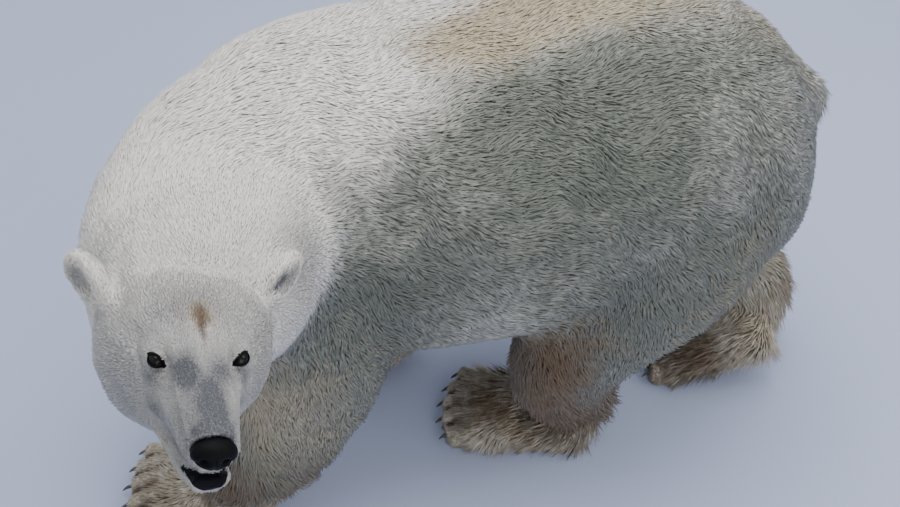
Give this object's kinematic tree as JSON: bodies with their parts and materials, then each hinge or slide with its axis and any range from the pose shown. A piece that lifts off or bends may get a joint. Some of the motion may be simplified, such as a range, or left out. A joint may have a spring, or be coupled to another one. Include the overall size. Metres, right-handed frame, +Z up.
{
  "type": "polar bear",
  "caption": "Adult polar bear standing on all fours, head turned to its left and raised, modelled as a still, life-size animal in a thick pale coat.",
  "frame": {"origin": "centre of the bounding box on the floor, z = 0 where the soles rest", "axes": "+Z up, -Y the way the trunk faces, +X the bear's left, towards which the head is turned"},
  "size_m": [1.1202, 1.5438, 1.0955],
  "materials": {
    "fur": "dense creamy white fur with longer guard hairs, yellowed along the back",
    "stained_fur": "short fur on the legs and feet, stained reddish brown towards the floor",
    "nose_skin": "black moist leathery nose pad",
    "eye": "wet glossy very dark brown",
    "claw": "smooth blackish brown horn"
  },
  "bodies": {
    "root": {"ear_left": "fur", "ear_right": "fur", "eye_left": "eye", "eye_right": "eye", "foreclaw_left_1": "claw", "foreclaw_left_2": "claw", "foreclaw_left_3": "claw", "foreclaw_left_4": "claw", "foreclaw_left_5": "claw", "foreclaw_right_1": "claw", "foreclaw_right_2": "claw", "foreclaw_right_3": "claw", "foreclaw_right_4": "claw", "foreclaw_right_5": "claw", "foreleg_left": "stained_fur", "foreleg_right": "stained_fur", "forepaw_left": "stained_fur", "forepaw_right": "stained_fur", "head": "fur", "hindclaw_left_1": "claw", "hindclaw_left_2": "claw", "hindclaw_left_3": "claw", "hindclaw_left_4": "claw", "hindclaw_left_5": "claw", "hindclaw_right_1": "claw", "hindclaw_right_2": "claw", "hindclaw_right_3": "claw", "hindclaw_right_4": "claw", "hindclaw_right_5": "claw", "hindleg_left": "stained_fur", "hindleg_right": "stained_fur", "hindpaw_left": "stained_fur", "hindpaw_right": "stained_fur", "lower_jaw": "fur", "neck": "fur", "nose": "nose_skin", "tail": "fur", "trunk": "fur"}
  },
  "joints": []
}
